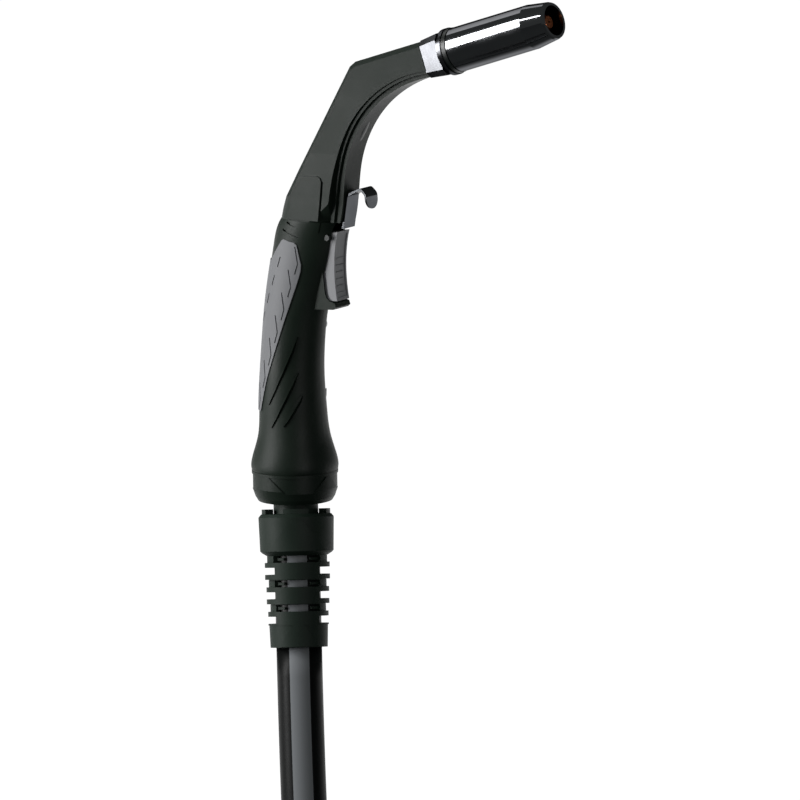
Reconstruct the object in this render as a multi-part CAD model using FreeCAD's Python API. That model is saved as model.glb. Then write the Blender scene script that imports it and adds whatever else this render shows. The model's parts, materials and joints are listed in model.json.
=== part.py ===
import FreeCAD, Part
import math
import os

# A hand-held wire-feed welding torch with its cable and machine plug.
# Sizes are in millimetres. The working frame stands at the middle of the seam
# between the handle and its rear ring: +Z runs up the handle, +X towards the
# trigger and the nozzle, +Y to the far side. When a piece is written out it is
# moved so that the origin is where the hanging hook rests on its peg.

os.makedirs("parts", exist_ok=True)
V = FreeCAD.Vector

# ---------------------------------------------------------------- clearances
RUN_GAP = 0.05          # radial clearance of a turning or sliding fit
SIDE_GAP = 0.3          # between a moving piece and its neighbour
SEAT_GAP = 0.15         # between a fixed piece and the pocket it lies in

# ---------------------------------------------------------------- handle
HANDLE_WALL = 2.6
HANDLE_TOP = 126.0      # seam between the handle and the neck cover
# height, middle in X, half depth behind it, half depth in front of it, half width in Y
HANDLE_SECTIONS = [
    (0.0, 0.0, 21.2, 21.2, 21.2),
    (5.5, 0.0, 21.1, 21.1, 21.1),
    (15.9, 0.0, 18.2, 18.2, 18.1),
    (31.7, -0.5, 16.8, 16.8, 16.3),
    (47.0, -0.5, 16.1, 16.1, 15.2),
    (64.0, 0.6, 15.9, 15.9, 14.3),
    (81.0, 2.6, 16.2, 16.4, 13.9),
    (100.0, 6.0, 16.6, 18.6, 13.4),
    (112.0, 8.8, 17.2, 19.2, 13.0),
    (HANDLE_TOP, 13.6, 17.0, 19.4, 12.6),
]
OVAL_POINTS = 24        # points that each section's closed curve runs through
TOP_WALL = 3.0
SCREW_R = 1.25
SCREW_HEAD_R = 2.6
BOSS_R = 2.9
SCREW_PLACES = [(0.0, 29.0), (11.6, 72.0), (19.0, 113.5)]   # X and Z
SCREW_REACH = 8.0       # of the screws' threads and heads, each side of the middle
SCREW_HEAD_T = 1.8
BOSS_REACH = 12.0
RING_OVERLAP = 4.0      # how far the knuckle seat stands up inside the handle

# soft pads let into both sides, as X and Z outlines on the side of the handle
GRIP_OUTLINE = [(2.6, 115.9), (4.0, 116.5), (10.6, 115.2), (11.9, 114.2), (14.0, 104.5), (13.6, 101.0),
                (11.8, 95.4), (4.9, 76.8), (-5.5, 47.5), (-10.4, 30.0), (-24.0, 30.0), (-24.0, 105.0),
                (-6.0, 105.0)]
GRIP_DEPTH = 1.2
GRIP_PROUD = 0.5
GRIP_GROOVE_DEPTH = 0.5
GRIP_GROOVE_HALF_W = 0.3
GRIP_CHEVRON = [(11.1, 113.4), (12.4, 104.9), (10.7, 99.6)]
GRIP_CHEVRONS = 7
GRIP_PITCH = (-3.9, -11.6)
GRIP_DASH = [(2.0, 107.6), (0.3, 102.5)]
GRIP_DASHES = 4
GRIP_DASH_PITCH = (-3.75, -9.4)

# raised ribs low on the handle: upper end, lower end and half width of each
RIBS = [((10.6, 68.2), (-4.0, 34.0), 0.8), ((10.4, 50.2), (-2.0, 22.8), 0.85),
        ((12.1, 39.4), (4.6, 23.6), 0.9)]
RIB_PROUD = 0.7
RIB_CUT_HALF_W = 0.35
RIB_CUT_DEPTH = 0.8
# vents at the back edge, each with a short groove that leads away from it
VENTS = [((5.2, 124.9), (7.2, 124.3)), ((2.4, 121.2), (4.4, 120.6))]
VENT_GROOVES = [((7.2, 124.3), (11.2, 123.3)), ((4.4, 120.6), (12.8, 118.3))]
VENT_HALF_W = 0.45
VENT_DEPTH = 2.0
VENT_GROOVE_DEPTH = 0.45

# ---------------------------------------------------------------- swan neck
NOZZLE_TILT = 18.1      # nozzle axis above +X, degrees
NOZZLE_AXIS = V(math.cos(math.radians(NOZZLE_TILT)), 0, math.sin(math.radians(NOZZLE_TILT)))
NECK_UP = V(-NOZZLE_AXIS.z, 0, NOZZLE_AXIS.x)
NECK_END = V(84.8, 0, 210.8)      # middle of the neck's end face
NECK_LAST_RUN = 34.0              # from the tube's second bend to the end face
TUBE_PATH = [V(1.5, 0, 62), V(6.0, 0, 117), NECK_END - NOZZLE_AXIS * NECK_LAST_RUN, NECK_END]
TUBE_BENDS = [38.0, 34.0]
TUBE_R = 6.0
TUBE_BORE_R = 3.4
SLEEVE_R = 7.2          # insulation over the tube
LINER_R = 2.2
LINER_BORE_R = 1.0
# inner (front) face of the neck from the end face down to the handle
END_BACK, END_GROOVE, END_FRONT = (NECK_END + NECK_UP * rise for rise in (8.8, -5.7, -9.05))
NECK_FRONT = [(END_FRONT.x, END_FRONT.z), (67.5, 194.4), (52.8, 183.0), (43.3, 169.5),
              (37.9, 154.5), (36.0, 140.0), (32.8, 123.0)]
# line of the groove between the cover and the front strip
NECK_GROOVE = [(END_GROOVE.x, END_GROOVE.z), (66.2, 198.4), (51.9, 188.2), (41.5, 175.4),
               (34.8, 160.6), (31.4, 147.6), (29.0, HANDLE_TOP)]
# back of the neck from the end face, round the elbow and down to the handle
NECK_BACK = [(END_BACK.x, END_BACK.z), (44.0, 206.7), (40.6, 204.0), (10.5, 150.9), (4.3, 139.0),
             (-2.6, HANDLE_TOP)]
NECK_WIDTHS = [(HANDLE_TOP, 12.1), (138.0, 11.0), (160.0, 9.6), (190.0, 8.9), (240.0, 8.8)]
NECK_BLANK = 13.0       # half width that the neck is cut from
NECK_BEVEL = 2.4
# round body that the neck's foot is trimmed to, so that it runs into the handle
NECK_FOOT = [(HANDLE_TOP, 13.6, 17.0, 12.6), (136.0, 18.5, 19.6, 13.8), (150.0, 25.0, 24.0, 16.0),
             (240.0, 60.0, 90.0, 60.0)]
STRIP_FACE_W = 6.9      # half width of the strip's front face
STRIP_BEAD_W = 8.1      # half width of the bead behind it, next to the cover
STRIP_BEAD_SHARE = 0.42 # of the strip's depth
BADGE_THICK = 0.6
BADGE_OUTLINE = [(14.6, 148.2), (22.6, 148.9), (24.6, 148.2), (25.5, 146.3), (24.3, 126.8), (5.6, 126.8),
                 (6.9, 131.1), (9.4, 138.7), (12.4, 145.9)]
BADGE_GROOVE = [(26.1, 146.3), (24.9, 126.8), (22.9, 120.4)]
BADGE_GROOVE_HALF_W = 0.3
BADGE_GROOVE_DEPTH = 0.6

# ---------------------------------------------------------------- front end
COLLAR_LENGTH = 13.4
COLLAR_FLANGE_R = 11.75
COLLAR_FLANGE_T = 2.4
COLLAR_OUTLINE = [(9.3, -6.0), (9.3, 6.0), (6.6, 8.6), (-6.6, 8.6),
                  (-9.6, 6.0), (-9.6, -6.0), (-6.6, -8.6), (6.6, -8.6)]
COLLAR_GROWTH = (1.12, 1.2)   # of that outline, from the neck to the flange
INSULATOR_SPIGOT = 9.0        # inside the nozzle
INSULATOR_LENGTH = 2.6
NOZZLE_R = 11.1
NOZZLE_BORE_R = 9.3
NOZZLE_LENGTH = 58.8
NOZZLE_TIP_R = 9.0
NOZZLE_MOUTH_R = 7.6
TAPER_LENGTH = 13.0
HOLDER_R = 6.2
HOLDER_REACH = 24.0     # into the nozzle
HOLDER_NOSE_R = 5.4
GAS_PORTS = 6
GAS_PORT_R = 0.9
TIP_THREAD_R = 3.0
TIP_THREAD = 6.0
TIP_R = 4.0
TIP_WIRE_R = 0.6        # bore for 1.0 mm wire
TIP_RECESS = 3.0        # contact tip behind the nozzle's mouth

# ---------------------------------------------------------------- trigger
TRIGGER_HALF_W = 5.35
TRIGGER_PIN = (26.2, 118.2)       # X and Z of its pivot
TRIGGER_PIN_R = 1.5
TRIGGER_FACE = [(31.0, 121.0), (29.2, 111.0), (28.8, 101.0), (29.3, 93.0), (30.2, 86.6)]
TRIGGER_FRAME = 1.1               # border round the recess in its front face
TRIGGER_RECESS = 0.45
TRIGGER_RIBS_Z = [90.4, 93.8, 97.2, 100.6, 104.0, 107.4]
TRIGGER_RIB_R = 0.35
TRIGGER_BACK = [(25.6, 86.6), (22.8, 89.5), (22.2, 99.0), (23.2, 112.0), (23.4, 120.0)]
LIP_PROFILE = [(12.0, 81.5), (28.6, 82.4), (30.1, 83.6), (29.4, 85.6), (26.6, 86.4), (24.6, 88.0),
               (23.7, 90.4), (23.1, 96.0), (22.4, 101.6), (12.0, 101.6)]
LIP_HALF_W = 6.5
SWITCH_X = (12.9, 19.3)
SWITCH_Z = (88.0, 108.0)
SWITCH_HALF_W = 3.2
PLUNGER_Z = 95.0
PLUNGER_R = 1.2
PLUNGER_OUT = 2.6                 # how far it stands out of the switch at rest

# ---------------------------------------------------------------- hook
HOOK_W = 10.0
HOOK_T = 1.0
HOOK_LINE = [(33.9, 122.9), (36.7, 139.6), (44.4, 143.3), (47.4, 140.6), (48.2, 133.4)]
HOOK_BENDS = [2.0, 1.6, 3.0]
HOOK_REST = (40.4, 0, 140.6)      # underside of the hook's top, on its peg

# ---------------------------------------------------------------- rear ring and knuckle
RING_HEIGHT = 15.2
RING_R = 21.3
RING_BAND = 8.3
RING_END_R = 18.4
RING_MOUTH_R = 15.6     # opening round the cable support's stem
RING_SEAM = 0.15        # between the ring and the handle
# flat panels sunk in the ring, as distances across and heights
RING_FACET = [(-14.6, -1.6), (14.6, -1.6), (7.0, -9.4), (-7.0, -9.4)]
RING_FACET_DEPTH = 0.5
RING_FACET_DEG = -51.0
BALL_CENTRE = V(0, 0, -3.0)
BALL_R = 13.5
BALL_BORE_R = 8.0
BALL_FLAT = 9.5         # height at which the ball is cut off above its centre
SEAT_BORE_R = 9.0
SEAT_CONE = (9.5, 14.0, 8.0)    # lower and upper radius and height of the seat's flared top
STEM_R = 11.0
SEAT_R = 17.2
SEAT_HALF = 7.0
SEAT_LIP_DEG = 69.0     # edge of the spherical seat, measured from the handle's axis
CABLE_DOWN = V(0.101, -0.137, -0.985).normalize()
FRONT = V(0.553, -0.833, 0)       # side on which the boot's first window opens

# ---------------------------------------------------------------- cable support, from the ball's centre
CABLE_R = 11.25
BOOT_TOP = 16.9
BOOT_SHOULDER = 20.3
BOOT_BODY_END = 38.5
BOOT_END = 85.0
BOOT_TOP_R = 16.9
BOOT_BODY_R = 18.6
BOOT_LOW_R = 14.1
RIB_PITCH = 12.05
RIB_FIRST = 44.4
RIB_THICK = 2.4
BOOT_SLEEVE_R = 13.2
BOOT_CROWN_FLOOR = 19.2
BOOT_CROWN_GAP = 1.6
BOOT_TABS = [(0, 44), (90, 54), (180, 44), (270, 54)]   # direction and width of each crown tab, in degrees
BOOT_COLLAR = 12.0
# raised panels, across and distance along the axis, with their outer radius
BOOT_PANELS = [([(-2.7, 22.3), (2.7, 22.3), (14.9, 37.6), (-14.9, 37.6)], BOOT_BODY_R + 0.7),
               ([(-2.5, 73.4), (2.5, 73.4), (9.7, 84.6), (-9.7, 84.6)], BOOT_LOW_R + 1.15)]
BOOT_RIB_R = 16.0
BOOT_RIB_TAPER = 0.55   # from one pair of ribs to the next
BOOT_BAND = 5.9         # from one rib of a pair to the other
BOOT_GAP_DEG = 92       # side openings between the ribs of a pair
BOOT_WINDOW_DEG = 104   # windows in front and behind, above each pair
BOOT_WINDOW_H = 3.4
BOOT_STRUT_R = 14.8     # of the sleeve beside the windows
BOOT_BAR_R = 12.8
BOOT_BAR_T = 1.3
BOOT_BARS = [(46, 30), (134, 30), (226, 30), (314, 30)]
STEM_FLANGE = (24.0, 28.0)
STEM_FLANGE_R = 12.6
SHEATH_START = 33.0
CORE_R = 6.0
CORE_TOP = -7.0

# ---------------------------------------------------------------- free cable: its way down and its coil
CABLE_FIRST_RUN = 60.0
CABLE_ROUTE = [
    (22.2, -27.0, -212.0),
    (11.2, -57.0, -266.5),
    (-11.0, -105.2, -301.5),
    (-33.6, -162.4, -309.0),
    (-42.8, -185.7, -309.0),
]
COIL_MIDDLE = V(74.8, -232.3, 0)
COIL_TURN_R = 126.5               # outer turns, inner turns lie one cable inside
COIL_TOP_Z = -309.0               # middle of the cable in the upper turns
TAIL_ROUTE = [
    (201.3, -232.3, -331.5),
    (203.0, -202.0, -331.0),
    (203.2, -171.0, -328.2),
    (202.3, -140.0, -322.4),
    (201.3, -110.0, -317.75),
    (201.3, -82.0, -317.75),
]

# ---------------------------------------------------------------- machine plug, from where the cable enters
PLUG_BOOT_LENGTH = 48.0
PLUG_BODY_LENGTH = 104.0
PLUG_BODY_R = 22.5
PLUG_WALL = 2.5
PLUG_NUT_R = 25.0
PLUG_NUT_LENGTH = 26.0
PLUG_NUT_GRIPS = 16
PLUG_FACE = 166.0       # front of the insulating disc
PLUG_PIN_R = 6.0
PLUG_PIN_LENGTH = 24.0
PLUG_NECK_R = 7.5       # of the pin's shoulder, inside the disc and the washer
PLUG_CORE_R = 5.8       # of the cable's core, inside the plug
PLUG_SEAL_R = 9.5       # washer round the pin's shoulder
PLUG_SEAL_T = 1.2
PLUG_CONTACT_R = 2.0
PLUG_CONTACT_LENGTH = 9.0
PLUG_CONTACT_SPREAD = 12.5
PLUG_BOOT_LIP = 8.0     # of the strain relief, inside the shells
PLUG_BOOT_GROWTH = 5.0
PLUG_BLOCK_START = 45.0 # behind the shells' rear edge
PLUG_BLOCK_R = 12.0
PLUG_DISC_T = 14.0
PLUG_NUT_BACK = 8.0     # of the nut, over the shells
PLUG_FLUTE_R = 1.6


def placed(origin, axis, front):
    """A local frame at origin with its own Z along axis and its X towards front."""
    z = V(axis).normalize()
    y = z.cross(front).normalize()
    x = y.cross(z)
    return FreeCAD.Placement(origin, FreeCAD.Rotation(x, y, z, "ZXY"))


def radial_prism(place, outline, start):
    """An outline of (across, height) carried outwards from a place's axis, along its X."""
    points = [V(start, y, z) for y, z in outline]
    piece = Part.Face(Part.makePolygon(points + points[:1])).extrude(V(60, 0, 0))
    piece.Placement = place
    return piece


def rod(place, radius, low, high):
    piece = Part.makeCylinder(radius, high - low, V(0, 0, low))
    piece.Placement = place
    return piece


def pipe(place, outer, inner, low, high):
    return rod(place, outer, low, high).cut(rod(place, inner, low - 1, high + 1))


def turned(place, outline):
    """A body turned from an outline of (radius, distance along the axis)."""
    points = [V(r, 0, z) for r, z in outline]
    face = Part.Face(Part.makePolygon(points + points[:1]))
    piece = face.revolve(V(0, 0, 0), V(0, 0, 1), 360)
    piece.Placement = place
    return piece


def block(x, y, z):
    return Part.makeBox(x[1] - x[0], y[1] - y[0], z[1] - z[0], V(x[0], y[0], z[0]))


def local_block(place, x, y, z):
    piece = block(x, y, z)
    piece.Placement = place
    return piece


def plate(outline, y_low, y_high):
    """An outline of (X, Z) points made a plate between two Y planes."""
    points = [V(x, y_low, z) for x, z in outline]
    face = Part.Face(Part.makePolygon(points + points[:1]))
    return face.extrude(V(0, y_high - y_low, 0))


def curve(points):
    line = Part.BSplineCurve()
    line.interpolate(points)
    return line.toShape()


def runs_and_arcs(points, radii):
    """Straight runs through the points, joined by an arc of the given radius at each corner."""
    edges = []
    start = points[0]
    for before, corner, after, radius in zip(points, points[1:], points[2:], radii):
        back = (before - corner).normalize()
        ahead = (after - corner).normalize()
        half_turn = (math.pi - back.getAngle(ahead)) / 2
        reach = radius * math.tan(half_turn)
        middle_way = (back + ahead).normalize()
        middle = corner + middle_way * (radius / math.cos(half_turn) - radius)
        leave = corner + back * reach
        land = corner + ahead * reach
        edges.append(Part.LineSegment(start, leave).toShape())
        edges.append(Part.Arc(leave, middle, land).toShape())
        start = land
    edges.append(Part.LineSegment(start, points[-1]).toShape())
    return Part.Wire(edges)


def swept(wire, start, heading, radius):
    ring = Part.Wire(Part.makeCircle(radius, start, heading))
    return wire.makePipeShell([ring], True, False)


def bent_rod(points, radii, radius):
    wire = runs_and_arcs(points, radii)
    return swept(wire, points[0], points[1] - points[0], radius)


def route_radii(points):
    """The radius of each bend of a cable: as large as its two runs allow."""
    radii = []
    for before, corner, after in zip(points, points[1:], points[2:]):
        turn = math.pi - (before - corner).getAngle(after - corner)
        shorter = min((before - corner).Length, (after - corner).Length)
        radii.append(0.45 * shorter / math.tan(turn / 2))
    return radii


def mirrored(piece):
    return piece.mirror(V(0, 0, 0), V(0, 1, 0))


HANDLE_AXIS = FreeCAD.Placement(V(0, 0, 0), FreeCAD.Rotation())
NOZZLE_FRAME = placed(NECK_END, NOZZLE_AXIS, V(0, 0, 1))
CABLE_FRAME = placed(BALL_CENTRE, CABLE_DOWN, FRONT)
PEG = V(*HOOK_REST)
BIG = 400.0
NEAR_HALF = block((-BIG, BIG), (-BIG, 0), (-BIG, BIG))
FAR_HALF = block((-BIG, BIG), (0, BIG), (-BIG, BIG))
written = {}


def save(name, piece):
    """Writes one piece, moved so that the origin is at the hook's peg."""
    if len(piece.Solids) == 1:
        piece = piece.Solids[0]
    moved = piece.copy()
    moved.translate(PEG * -1)
    moved.exportStep("parts/" + name + ".step")
    written[name] = piece
    print(name, "solids", len(piece.Solids), "mm3", round(piece.Volume), "valid", piece.isValid())


# ================================================================ handle
def oval(middle, height, rear, front, half_y):
    """A closed curve: half an ellipse behind the middle and half another in front of it."""
    points = []
    for step in range(OVAL_POINTS):
        angle = 2 * math.pi * step / OVAL_POINTS
        half_x = front if math.cos(angle) > 0 else rear
        points.append(V(middle + half_x * math.cos(angle), half_y * math.sin(angle), height))
    line = Part.BSplineCurve()
    line.interpolate(Points=points, PeriodicFlag=True)
    return Part.Wire(line.toShape())


def handle_form(shrink):
    """The handle's outer form, or one that lies inside it by shrink."""
    rings = [oval(middle, z, rear - shrink, front - shrink, half_y - shrink)
             for z, middle, rear, front, half_y in HANDLE_SECTIONS]
    return Part.makeLoft(rings, True, False)


def handle_skin(proud, depth):
    """The layer from proud of the handle's surface to depth below it."""
    return handle_form(-proud).cut(handle_form(depth))


def side_prism(outline):
    """An X and Z outline carried out through the near side of the handle or neck."""
    points = [V(x, -BIG, z) for x, z in outline]
    face = Part.Face(Part.makePolygon(points + points[:1]))
    return face.extrude(V(0, BIG, 0))


def bar(a, b, half):
    """The outline of a straight bar from a to b."""
    along = V(b[0] - a[0], 0, b[1] - a[1]).normalize()
    x, z = -along.z * half, along.x * half
    return [(a[0] + x, a[1] + z), (b[0] + x, b[1] + z), (b[0] - x, b[1] - z), (a[0] - x, a[1] - z)]


def leaf(a, b, half, side=0.0):
    """The outline of a pointed leaf from a to b, moved to one side by its middle."""
    along = V(b[0] - a[0], 0, b[1] - a[1])
    across = V(-along.z, 0, along.x).normalize()
    points = [(0.0, 0.15), (0.2, 0.8), (0.5, 1.0), (0.8, 0.8), (1.0, 0.15)]
    start = V(a[0], 0, a[1])
    left = [start + along * t + across * (w * (side + half)) for t, w in points]
    right = [start + along * t + across * (w * (side - half)) for t, w in reversed(points)]
    return [(point.x, point.z) for point in left + right]


def shifted(points, step, count):
    return [[(x + step[0] * k, z + step[1] * k) for x, z in points] for k in range(count)]


def bars_along(lines, half):
    """Bars along each line's pieces, joined as one body."""
    pieces = [side_prism(bar(a, b, half)) for line in lines for a, b in zip(line, line[1:])]
    return pieces[0].fuse(pieces[1:])


def lip_form():
    return plate(LIP_PROFILE, -LIP_HALF_W, LIP_HALF_W)


def switch_room():
    half = SWITCH_HALF_W + SEAT_GAP
    return block((SWITCH_X[0] - SEAT_GAP, SWITCH_X[1] + 1.0), (-half, half),
                 (SWITCH_Z[0] - SEAT_GAP, SWITCH_Z[1] + SEAT_GAP))


def trigger_room():
    """The slot that the trigger moves in, with its clearance at the sides."""
    half = TRIGGER_HALF_W + SIDE_GAP
    deepest = SWITCH_X[1] + 0.2
    outline = [(34, 86.3), (21.5, 86.3), (deepest, 88.0), (deepest, HANDLE_TOP + 1), (34, HANDLE_TOP + 1)]
    return plate(outline, -half, half)


def screw_room(place_x, place_z, radius, y_low, y_high):
    return Part.makeCylinder(radius, y_high - y_low, V(place_x, y_low, place_z), V(0, 1, 0))


def make_handle():
    outer = handle_form(0).fuse(lip_form())
    hollow = handle_form(HANDLE_WALL)
    below_top = block((-BIG, BIG), (-BIG, BIG), (-1, HANDLE_TOP - TOP_WALL))
    body = outer.cut(hollow.common(below_top))
    bosses = [screw_room(x, z, BOSS_R, -BOSS_REACH, BOSS_REACH) for x, z in SCREW_PLACES]
    pin_x, pin_z = TRIGGER_PIN
    bosses.append(screw_room(pin_x, pin_z, BOSS_R, -BOSS_REACH, BOSS_REACH))
    inside = handle_form(HANDLE_WALL / 2)
    body = body.fuse([boss.common(inside) for boss in bosses])
    body = body.cut(trigger_room()).cut(switch_room())
    body = body.cut(bent_rod(TUBE_PATH, TUBE_BENDS, SLEEVE_R + SEAT_GAP))
    body = body.cut(screw_room(pin_x, pin_z, TRIGGER_PIN_R, -SCREW_REACH, SCREW_REACH))
    body = body.cut(rod(HANDLE_AXIS, SEAT_R + SIDE_GAP, -1, RING_OVERLAP + SIDE_GAP))
    for x, z in SCREW_PLACES:
        body = body.cut(screw_room(x, z, SCREW_R, -SCREW_REACH, SCREW_REACH))
        body = body.cut(screw_room(x, z, SCREW_HEAD_R, SCREW_REACH, BIG))
    trim = handle_trim()
    marks = handle_marks()
    pocket = grip_form(0)
    near = body.common(NEAR_HALF).fuse(trim).cut(marks).cut(pocket)
    far = body.common(FAR_HALF).fuse(mirrored(trim)).cut(mirrored(marks)).cut(mirrored(pocket))
    save("handle_shell_left", largest(near))
    save("handle_shell_right", largest(far))
    grip = grip_form(SEAT_GAP).cut(grip_grooves())
    save("grip_insert_left", largest(grip))
    save("grip_insert_right", largest(mirrored(grip)))
    screws = []
    for x, z in SCREW_PLACES:
        shaft = screw_room(x, z, SCREW_R, -SCREW_REACH, SCREW_REACH)
        head = screw_room(x, z, SCREW_HEAD_R - SEAT_GAP, SCREW_REACH, SCREW_REACH + SCREW_HEAD_T)
        screws.append(shaft.fuse(head).removeSplitter())
    save("handle_screws", Part.makeCompound(screws))


def largest(piece):
    return max(piece.Solids, key=lambda solid: solid.Volume)


def handle_trim():
    """The raised ribs on one side, low on the handle."""
    leaves = [side_prism(leaf(a, b, half)) for a, b, half in RIBS]
    return handle_skin(RIB_PROUD, HANDLE_WALL / 2).common(leaves[0].fuse(leaves[1:]))


def handle_marks():
    """Everything cut into one side of the handle: beside the ribs, the vents and the badge's groove."""
    cuts = [side_prism(leaf(a, b, RIB_CUT_HALF_W, half + RIB_CUT_HALF_W)) for a, b, half in RIBS]
    marks = handle_skin(RIB_PROUD + 1, RIB_CUT_DEPTH).common(cuts[0].fuse(cuts[1:]))
    slots = handle_skin(1, VENT_DEPTH).common(bars_along(VENTS, VENT_HALF_W))
    lines = bars_along(VENT_GROOVES, VENT_HALF_W).fuse(bars_along([BADGE_GROOVE], BADGE_GROOVE_HALF_W))
    return marks.fuse([slots, handle_skin(1, VENT_GROOVE_DEPTH).common(lines)])


def grip_form(gap):
    """A soft pad let into one side of the handle, from its flank round to the seam at the back."""
    pad = handle_skin(GRIP_PROUD, GRIP_DEPTH).common(side_prism(GRIP_OUTLINE))
    if gap:
        pad = pad.common(block((-BIG, BIG), (-BIG, -gap), (-BIG, BIG)))
    return pad


def grip_grooves():
    """Rows of bent and straight lines pressed into the pad."""
    bent = shifted(GRIP_CHEVRON, GRIP_PITCH, GRIP_CHEVRONS)
    straight = shifted(GRIP_DASH, GRIP_DASH_PITCH, GRIP_DASHES)
    bars = bars_along(bent + straight, GRIP_GROOVE_HALF_W)
    return handle_skin(GRIP_PROUD + 1, GRIP_GROOVE_DEPTH - GRIP_PROUD).common(bars)


# ================================================================ swan neck
def neck_width_form():
    points = [V(0, -w, z) for z, w in NECK_WIDTHS] + [V(0, w, z) for z, w in reversed(NECK_WIDTHS)]
    face = Part.Face(Part.makePolygon(points + points[:1]))
    return face.extrude(V(BIG, 0, 0)).fuse(face.extrude(V(-BIG, 0, 0)))


def neck_plate(front_points, half):
    front = curve([V(x, -half, z) for x, z in front_points])
    corners = [front_points[-1]] + NECK_BACK[::-1] + [front_points[0]]
    lines = [Part.LineSegment(V(a[0], -half, a[1]), V(b[0], -half, b[1])).toShape()
             for a, b in zip(corners, corners[1:])]
    face = Part.Face(Part.Wire([front] + lines))
    return face.extrude(V(0, 2 * half, 0))


def neck_half_width(z):
    for (low, wide), (high, narrow) in zip(NECK_WIDTHS, NECK_WIDTHS[1:]):
        if z <= high:
            return wide + (narrow - wide) * (z - low) / (high - low)
    return NECK_WIDTHS[-1][1]


def neck_bevel():
    """The two wedges that bevel the back edges of the neck cover."""
    spill = 0.5
    rings = []
    for index, (x, z) in enumerate(NECK_BACK):
        before = NECK_BACK[max(index - 1, 0)]
        after = NECK_BACK[min(index + 1, len(NECK_BACK) - 1)]
        along = V(after[0] - before[0], 0, after[1] - before[1]).normalize()
        inward = V(-along.z, 0, along.x)
        if index in (0, len(NECK_BACK) - 1):
            x, z = (x, z + 0.01) if index else (x + 0.01, z)
        wide = neck_half_width(z)
        corners = [V(x, wide + spill, z) - inward * spill,
                   V(x, wide - NECK_BEVEL - spill, z) - inward * spill,
                   V(x, wide + spill, z) + inward * (NECK_BEVEL + spill)]
        rings.append(Part.makePolygon(corners + corners[:1]))
    wedge = Part.makeLoft(rings, True, True)
    return wedge.fuse(mirrored(wedge))


def neck_foot():
    rings = [Part.Wire(Part.Ellipse(V(x, 0, z), long, short).toShape()) for z, x, long, short in NECK_FOOT]
    return Part.makeLoft(rings, True, True)


def make_neck():
    widths = neck_width_form()
    whole = neck_plate(NECK_FRONT, STRIP_FACE_W)
    cover_blank = neck_plate(NECK_GROOVE, NECK_BLANK)
    bead_line = [(g[0] + (f[0] - g[0]) * STRIP_BEAD_SHARE, g[1] + (f[1] - g[1]) * STRIP_BEAD_SHARE)
                 for g, f in zip(NECK_GROOVE, NECK_FRONT)]
    strip = whole.fuse(neck_plate(bead_line, STRIP_BEAD_W)).cut(cover_blank)
    strip = strip.cut(block((-BIG, BIG), (-BIG, BIG), (-BIG, HANDLE_TOP)))
    cover = cover_blank.common(widths).cut(neck_bevel()).common(neck_foot())
    channel = bent_rod(TUBE_PATH, TUBE_BENDS, SLEEVE_R)
    sunk = widths.copy()
    sunk.translate(V(0, BADGE_GROOVE_DEPTH, 0))
    groove = bars_along([BADGE_GROOVE], BADGE_GROOVE_HALF_W).cut(sunk)
    cover = cover.cut(channel).cut([groove, mirrored(groove)])
    strip = largest(strip.cut(channel).cut(hook_form()))
    save("neck_cover", largest(cover))
    save("neck_front_strip", strip)
    tube = bent_rod(TUBE_PATH, TUBE_BENDS, TUBE_R)
    bore = bent_rod(TUBE_PATH, TUBE_BENDS, TUBE_BORE_R)
    liner = bent_rod(TUBE_PATH, TUBE_BENDS, LINER_R)
    wire_way = bent_rod(TUBE_PATH, TUBE_BENDS, LINER_BORE_R)
    sleeve = bent_rod(TUBE_PATH, TUBE_BENDS, SLEEVE_R).cut(bent_rod(TUBE_PATH, TUBE_BENDS, TUBE_R))
    save("neck_tube", tube.cut(bore))
    save("wire_liner", liner.cut(wire_way))
    save("neck_insulation", sleeve)
    raised = widths.copy()
    raised.translate(V(0, -BADGE_THICK, 0))
    panel = largest(side_prism(BADGE_OUTLINE).common(raised).cut(widths))
    save("badge_panel_left", panel)
    save("badge_panel_right", mirrored(panel))


# ================================================================ hook
def hook_form():
    """A bent strip: a riser up the neck, a top that rests on a peg, and a tongue that turns down."""
    line = [V(x, 0, z) for x, z in HOOK_LINE]
    wire = runs_and_arcs(line, HOOK_BENDS)
    along = (line[1] - line[0]).normalize()
    across = V(-along.z, 0, along.x)
    half_w = HOOK_W / 2
    half_t = HOOK_T / 2
    corners = [line[0] + V(0, s * half_w, 0) + across * (t * half_t)
               for s, t in ((-1, -1), (1, -1), (1, 1), (-1, 1))]
    section = Part.makePolygon(corners + corners[:1])
    strip = wire.makePipeShell([section], True, False)
    end_x, end_z = HOOK_LINE[-1]
    round_z = end_z + half_w
    tongue = block((end_x - half_w / 2, end_x + half_w), (-BIG, BIG), (end_z - 1, round_z))
    rounded = Part.makeCylinder(half_w, BIG, V(0, 0, round_z), V(1, 0, 0))
    return strip.cut(tongue.cut(rounded))


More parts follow.
